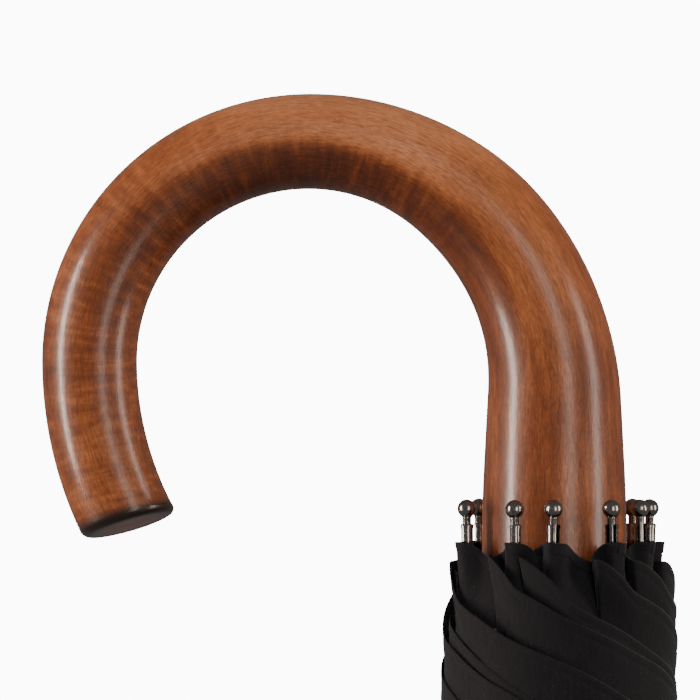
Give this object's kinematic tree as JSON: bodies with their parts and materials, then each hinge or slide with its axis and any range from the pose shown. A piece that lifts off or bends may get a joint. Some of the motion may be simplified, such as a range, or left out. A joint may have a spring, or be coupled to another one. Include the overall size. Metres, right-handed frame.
{
  "type": "stick umbrella",
  "caption": "Closed stick umbrella with a wooden crook handle, a rolled canopy on steel ribs and stretchers, and a runner that slides along the shaft to open it.",
  "frame": {"origin": "centre of the flat end of the ferrule cap, on the shaft's axis", "axes": "+Z along the shaft from the ferrule to the handle; the crook opens towards -X"},
  "size_m": [0.133, 0.0508, 0.8019],
  "materials": {
    "handle_wood": "glossy varnish over stained maple",
    "dark_steel": "black lacquer",
    "rib_steel": "blackened steel, satin",
    "gunmetal": "polished gunmetal",
    "nickel": "bright nickel",
    "canopy_cloth": "black pongee weave"
  },
  "bodies": {
    "pole": {"crook_handle": "handle_wood", "shaft": "dark_steel", "ferrule": "dark_steel", "ferrule_cap": "nickel", "canopy_cap": "dark_steel", "top_notch": "dark_steel", "notch_wire": "nickel", "tie_band": "canopy_cloth", "band_snap": "gunmetal"},
    "runner": {"runner": "dark_steel", "runner_wire": "nickel"},
    "top_catch": {"top_catch": "nickel"},
    "bottom_catch": {"bottom_catch": "nickel"},
    "rib_1": {"rib_inner_1": "rib_steel"},
    "rib_end_1": {"rib_outer_1": "rib_steel", "rib_tip_1": "gunmetal"},
    "stretcher_1": {"stretcher_1": "rib_steel"},
    "rib_2": {"rib_inner_2": "rib_steel"},
    "rib_end_2": {"rib_outer_2": "rib_steel", "rib_tip_2": "gunmetal"},
    "stretcher_2": {"stretcher_2": "rib_steel"},
    "rib_3": {"rib_inner_3": "rib_steel"},
    "rib_end_3": {"rib_outer_3": "rib_steel", "rib_tip_3": "gunmetal"},
    "stretcher_3": {"stretcher_3": "rib_steel"},
    "rib_4": {"rib_inner_4": "rib_steel"},
    "rib_end_4": {"rib_outer_4": "rib_steel", "rib_tip_4": "gunmetal"},
    "stretcher_4": {"stretcher_4": "rib_steel"},
    "rib_5": {"rib_inner_5": "rib_steel"},
    "rib_end_5": {"rib_outer_5": "rib_steel", "rib_tip_5": "gunmetal"},
    "stretcher_5": {"stretcher_5": "rib_steel"},
    "rib_6": {"rib_inner_6": "rib_steel"},
    "rib_end_6": {"rib_outer_6": "rib_steel", "rib_tip_6": "gunmetal"},
    "stretcher_6": {"stretcher_6": "rib_steel"},
    "rib_7": {"rib_inner_7": "rib_steel"},
    "rib_end_7": {"rib_outer_7": "rib_steel", "rib_tip_7": "gunmetal"},
    "stretcher_7": {"stretcher_7": "rib_steel"},
    "rib_8": {"rib_inner_8": "rib_steel"},
    "rib_end_8": {"rib_outer_8": "rib_steel", "rib_tip_8": "gunmetal"},
    "stretcher_8": {"stretcher_8": "rib_steel"},
    "rib_9": {"rib_inner_9": "rib_steel"},
    "rib_end_9": {"rib_outer_9": "rib_steel", "rib_tip_9": "gunmetal"},
    "stretcher_9": {"stretcher_9": "rib_steel"},
    "rib_10": {"rib_inner_10": "rib_steel"},
    "rib_end_10": {"rib_outer_10": "rib_steel", "rib_tip_10": "gunmetal"},
    "stretcher_10": {"stretcher_10": "rib_steel"},
    "crown_cloth_1": {"canopy_crown_1": "canopy_cloth"},
    "skirt_cloth_1": {"canopy_skirt_1": "canopy_cloth"},
    "crown_cloth_2": {"canopy_crown_2": "canopy_cloth"},
    "skirt_cloth_2": {"canopy_skirt_2": "canopy_cloth"},
    "crown_cloth_3": {"canopy_crown_3": "canopy_cloth"},
    "skirt_cloth_3": {"canopy_skirt_3": "canopy_cloth"}
  },
  "joints": [
    {"name": "open_rib_1", "type": "hinge", "parent": "pole", "child": "rib_1", "pos_m": [-0.00909, -0.00141, 0.095], "axis": [0.153, -0.9882, 0], "range_deg": [0, 79], "deforming": ["canopy_crown_1", "canopy_crown_2", "canopy_crown_3", "canopy_skirt_1", "canopy_skirt_2", "canopy_skirt_3", "tie_band", "band_snap", "top_catch", "bottom_catch"]},
    {"name": "flex_rib_1", "type": "hinge", "parent": "rib_1", "child": "rib_end_1", "pos_m": [-0.01375, -0.00213, 0.38496], "axis": [0.153, -0.9882, 0], "range_deg": [-26.34, 0]},
    {"name": "rivet_1", "type": "hinge", "parent": "rib_1", "child": "stretcher_1", "pos_m": [-0.01375, -0.00213, 0.36496], "axis": [0.153, -0.9882, 0], "range_deg": [-158, 0]},
    {"name": "runner_eye", "type": "hinge", "parent": "stretcher_1", "child": "runner", "pos_m": [-0.00909, -0.00141, 0.63492], "axis": [0.153, -0.9882, 0], "range_deg": [0, 79]},
    {"name": "open_rib_2", "type": "hinge", "parent": "pole", "child": "rib_2", "pos_m": [-0.00653, -0.00648, 0.095], "axis": [0.7046, -0.7096, 0], "range_deg": [0, 79]},
    {"name": "flex_rib_2", "type": "hinge", "parent": "rib_2", "child": "rib_end_2", "pos_m": [-0.00987, -0.0098, 0.38496], "axis": [0.7046, -0.7096, 0], "range_deg": [-26.34, 0]},
    {"name": "rivet_2", "type": "hinge", "parent": "rib_2", "child": "stretcher_2", "pos_m": [-0.00987, -0.0098, 0.36496], "axis": [0.7046, -0.7096, 0], "range_deg": [-158, 0]},
    {"name": "open_rib_3", "type": "hinge", "parent": "pole", "child": "rib_3", "pos_m": [-0.00147, -0.00908, 0.095], "axis": [0.9871, -0.1599, 0], "range_deg": [0, 79]},
    {"name": "flex_rib_3", "type": "hinge", "parent": "rib_3", "child": "rib_end_3", "pos_m": [-0.00222, -0.01373, 0.38496], "axis": [0.9871, -0.1599, 0], "range_deg": [-26.34, 0]},
    {"name": "rivet_3", "type": "hinge", "parent": "rib_3", "child": "stretcher_3", "pos_m": [-0.00222, -0.01373, 0.36496], "axis": [0.9871, -0.1599, 0], "range_deg": [-158, 0]},
    {"name": "open_rib_4", "type": "hinge", "parent": "pole", "child": "rib_4", "pos_m": [0.00415, -0.00821, 0.095], "axis": [0.8926, 0.4509, 0], "range_deg": [0, 79]},
    {"name": "flex_rib_4", "type": "hinge", "parent": "rib_4", "child": "rib_end_4", "pos_m": [0.00627, -0.01242, 0.38496], "axis": [0.8926, 0.4509, 0], "range_deg": [-26.34, 0]},
    {"name": "rivet_4", "type": "hinge", "parent": "rib_4", "child": "stretcher_4", "pos_m": [0.00627, -0.01242, 0.36496], "axis": [0.8926, 0.4509, 0], "range_deg": [-158, 0]},
    {"name": "open_rib_5", "type": "hinge", "parent": "pole", "child": "rib_5", "pos_m": [0.00818, -0.00421, 0.095], "axis": [0.4571, 0.8894, 0], "range_deg": [0, 79]},
    {"name": "flex_rib_5", "type": "hinge", "parent": "rib_5", "child": "rib_end_5", "pos_m": [0.01237, -0.00636, 0.38496], "axis": [0.4571, 0.8894, 0], "range_deg": [-26.34, 0]},
    {"name": "rivet_5", "type": "hinge", "parent": "rib_5", "child": "stretcher_5", "pos_m": [0.01237, -0.00636, 0.36496], "axis": [0.4571, 0.8894, 0], "range_deg": [-158, 0]},
    {"name": "open_rib_6", "type": "hinge", "parent": "pole", "child": "rib_6", "pos_m": [0.00909, 0.00141, 0.095], "axis": [-0.153, 0.9882, 0], "range_deg": [0, 79]},
    {"name": "flex_rib_6", "type": "hinge", "parent": "rib_6", "child": "rib_end_6", "pos_m": [0.01375, 0.00213, 0.38496], "axis": [-0.153, 0.9882, 0], "range_deg": [-26.34, 0]},
    {"name": "rivet_6", "type": "hinge", "parent": "rib_6", "child": "stretcher_6", "pos_m": [0.01375, 0.00213, 0.36496], "axis": [-0.153, 0.9882, 0], "range_deg": [-158, 0]},
    {"name": "open_rib_7", "type": "hinge", "parent": "pole", "child": "rib_7", "pos_m": [0.00653, 0.00648, 0.095], "axis": [-0.7046, 0.7096, 0], "range_deg": [0, 79]},
    {"name": "flex_rib_7", "type": "hinge", "parent": "rib_7", "child": "rib_end_7", "pos_m": [0.00987, 0.0098, 0.38496], "axis": [-0.7046, 0.7096, 0], "range_deg": [-26.34, 0]},
    {"name": "rivet_7", "type": "hinge", "parent": "rib_7", "child": "stretcher_7", "pos_m": [0.00987, 0.0098, 0.36496], "axis": [-0.7046, 0.7096, 0], "range_deg": [-158, 0]},
    {"name": "open_rib_8", "type": "hinge", "parent": "pole", "child": "rib_8", "pos_m": [0.00147, 0.00908, 0.095], "axis": [-0.9871, 0.1599, 0], "range_deg": [0, 79]},
    {"name": "flex_rib_8", "type": "hinge", "parent": "rib_8", "child": "rib_end_8", "pos_m": [0.00222, 0.01373, 0.38496], "axis": [-0.9871, 0.1599, 0], "range_deg": [-26.34, 0]},
    {"name": "rivet_8", "type": "hinge", "parent": "rib_8", "child": "stretcher_8", "pos_m": [0.00222, 0.01373, 0.36496], "axis": [-0.9871, 0.1599, 0], "range_deg": [-158, 0]},
    {"name": "open_rib_9", "type": "hinge", "parent": "pole", "child": "rib_9", "pos_m": [-0.00415, 0.00821, 0.095], "axis": [-0.8926, -0.4509, 0], "range_deg": [0, 79]},
    {"name": "flex_rib_9", "type": "hinge", "parent": "rib_9", "child": "rib_end_9", "pos_m": [-0.00627, 0.01242, 0.38496], "axis": [-0.8926, -0.4509, 0], "range_deg": [-26.34, 0]},
    {"name": "rivet_9", "type": "hinge", "parent": "rib_9", "child": "stretcher_9", "pos_m": [-0.00627, 0.01242, 0.36496], "axis": [-0.8926, -0.4509, 0], "range_deg": [-158, 0]},
    {"name": "open_rib_10", "type": "hinge", "parent": "pole", "child": "rib_10", "pos_m": [-0.00818, 0.00421, 0.095], "axis": [-0.4571, -0.8894, 0], "range_deg": [0, 79]},
    {"name": "flex_rib_10", "type": "hinge", "parent": "rib_10", "child": "rib_end_10", "pos_m": [-0.01237, 0.00636, 0.38496], "axis": [-0.4571, -0.8894, 0], "range_deg": [-26.34, 0]},
    {"name": "rivet_10", "type": "hinge", "parent": "rib_10", "child": "stretcher_10", "pos_m": [-0.01237, 0.00636, 0.36496], "axis": [-0.4571, -0.8894, 0], "range_deg": [-158, 0]},
    {"name": "spread_crown_1", "type": "hinge", "parent": "rib_1", "child": "crown_cloth_1", "pos_m": [-0.00736, -0.00114, 0.08597], "axis": [0.9701, 0.1502, 0.1908], "range_deg": [0, 108.01]},
    {"name": "spread_skirt_1", "type": "hinge", "parent": "rib_end_1", "child": "skirt_cloth_1", "pos_m": [0.12305, 0.01905, 0.11986], "axis": [0.7858, 0.1216, 0.6065], "range_deg": [0, 108.01]},
    {"name": "spread_crown_2", "type": "hinge", "parent": "rib_4", "child": "crown_cloth_2", "pos_m": [0.00336, -0.00664, 0.08597], "axis": [-0.4426, 0.8762, 0.1908], "range_deg": [0, 108.01]},
    {"name": "spread_skirt_2", "type": "hinge", "parent": "rib_end_4", "child": "skirt_cloth_2", "pos_m": [-0.05614, 0.11114, 0.11986], "axis": [-0.3585, 0.7097, 0.6065], "range_deg": [0, 108.01]},
    {"name": "spread_crown_3", "type": "hinge", "parent": "rib_7", "child": "crown_cloth_3", "pos_m": [0.00528, 0.00525, 0.08597], "axis": [-0.6965, -0.6917, 0.1908], "range_deg": [0, 144.01]},
    {"name": "spread_skirt_3", "type": "hinge", "parent": "rib_end_7", "child": "skirt_cloth_3", "pos_m": [-0.08835, -0.08774, 0.11986], "axis": [-0.5642, -0.5603, 0.6065], "range_deg": [0, 144.01]},
    {"name": "press_top_catch", "type": "slide", "parent": "pole", "child": "top_catch", "axis": [0, -1, 0], "range_m": [0, 0.0022], "stiffness_N_per_m": 400},
    {"name": "press_bottom_catch", "type": "slide", "parent": "pole", "child": "bottom_catch", "axis": [0, -1, 0], "range_m": [0, 0.0022], "stiffness_N_per_m": 400}
  ],
  "couplings": [
    {"joint": "flex_rib_1", "follows": "open_rib_1", "ratio": -0.33333},
    {"joint": "rivet_1", "follows": "open_rib_1", "ratio": -2},
    {"joint": "runner_eye", "follows": "open_rib_1", "ratio": 1},
    {"joint": "open_rib_2", "follows": "open_rib_1", "ratio": 1},
    {"joint": "flex_rib_2", "follows": "open_rib_1", "ratio": -0.33333},
    {"joint": "rivet_2", "follows": "open_rib_1", "ratio": -2},
    {"joint": "open_rib_3", "follows": "open_rib_1", "ratio": 1},
    {"joint": "flex_rib_3", "follows": "open_rib_1", "ratio": -0.33333},
    {"joint": "rivet_3", "follows": "open_rib_1", "ratio": -2},
    {"joint": "open_rib_4", "follows": "open_rib_1", "ratio": 1},
    {"joint": "flex_rib_4", "follows": "open_rib_1", "ratio": -0.33333},
    {"joint": "rivet_4", "follows": "open_rib_1", "ratio": -2},
    {"joint": "open_rib_5", "follows": "open_rib_1", "ratio": 1},
    {"joint": "flex_rib_5", "follows": "open_rib_1", "ratio": -0.33333},
    {"joint": "rivet_5", "follows": "open_rib_1", "ratio": -2},
    {"joint": "open_rib_6", "follows": "open_rib_1", "ratio": 1},
    {"joint": "flex_rib_6", "follows": "open_rib_1", "ratio": -0.33333},
    {"joint": "rivet_6", "follows": "open_rib_1", "ratio": -2},
    {"joint": "open_rib_7", "follows": "open_rib_1", "ratio": 1},
    {"joint": "flex_rib_7", "follows": "open_rib_1", "ratio": -0.33333},
    {"joint": "rivet_7", "follows": "open_rib_1", "ratio": -2},
    {"joint": "open_rib_8", "follows": "open_rib_1", "ratio": 1},
    {"joint": "flex_rib_8", "follows": "open_rib_1", "ratio": -0.33333},
    {"joint": "rivet_8", "follows": "open_rib_1", "ratio": -2},
    {"joint": "open_rib_9", "follows": "open_rib_1", "ratio": 1},
    {"joint": "flex_rib_9", "follows": "open_rib_1", "ratio": -0.33333},
    {"joint": "rivet_9", "follows": "open_rib_1", "ratio": -2},
    {"joint": "open_rib_10", "follows": "open_rib_1", "ratio": 1},
    {"joint": "flex_rib_10", "follows": "open_rib_1", "ratio": -0.33333},
    {"joint": "rivet_10", "follows": "open_rib_1", "ratio": -2},
    {"joint": "spread_crown_1", "follows": "open_rib_1", "ratio": 1.3671},
    {"joint": "spread_skirt_1", "follows": "open_rib_1", "ratio": 1.3671},
    {"joint": "spread_crown_2", "follows": "open_rib_1", "ratio": 1.3671},
    {"joint": "spread_skirt_2", "follows": "open_rib_1", "ratio": 1.3671},
    {"joint": "spread_crown_3", "follows": "open_rib_1", "ratio": 1.8228},
    {"joint": "spread_skirt_3", "follows": "open_rib_1", "ratio": 1.8228}
  ]
}
